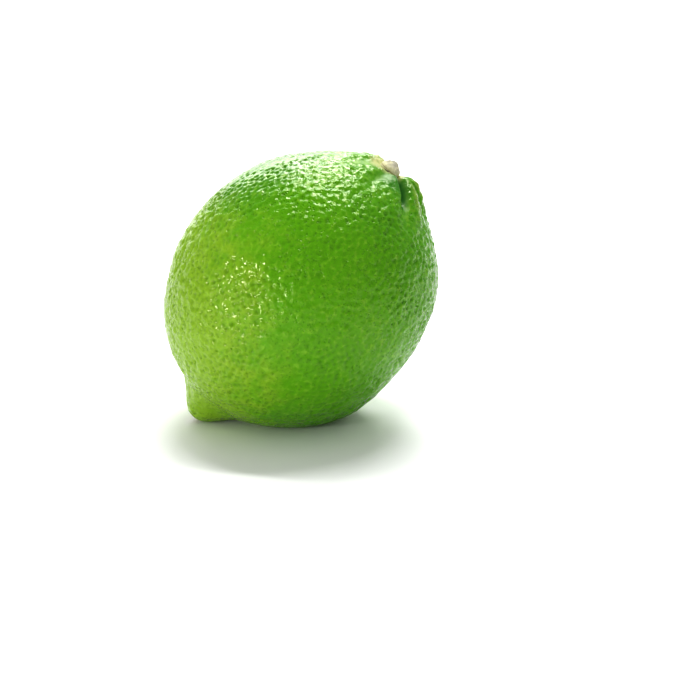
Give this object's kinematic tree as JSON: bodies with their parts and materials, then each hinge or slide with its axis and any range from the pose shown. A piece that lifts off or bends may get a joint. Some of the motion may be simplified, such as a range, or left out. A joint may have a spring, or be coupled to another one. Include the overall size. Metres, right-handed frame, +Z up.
{
  "type": "lime",
  "caption": "Whole lime with a blunt blossom nipple, a furrowed stem shoulder and a dry stem button, leaning at rest on a small flat spot.",
  "frame": {"origin": "on the small flat spot that the lime rests on, straight below the middle of the fruit's body", "axes": "+Z up; the fruit's long axis lies in the XZ plane, its stem end up and towards +X at 48 degrees above the surface, its nipple low and towards -X; +Y is across the long axis, level"},
  "size_m": [0.0577, 0.0538, 0.0576],
  "materials": {
    "peel": "waxy green citrus peel with fine pits, paler and yellower towards the nipple and on one cheek",
    "dry_stem": "dry, matt, greyish tan stalk stub and calyx, browner in its cracks"
  },
  "bodies": {
    "root": {"fruit": "peel", "stem_button": "dry_stem"}
  },
  "joints": []
}
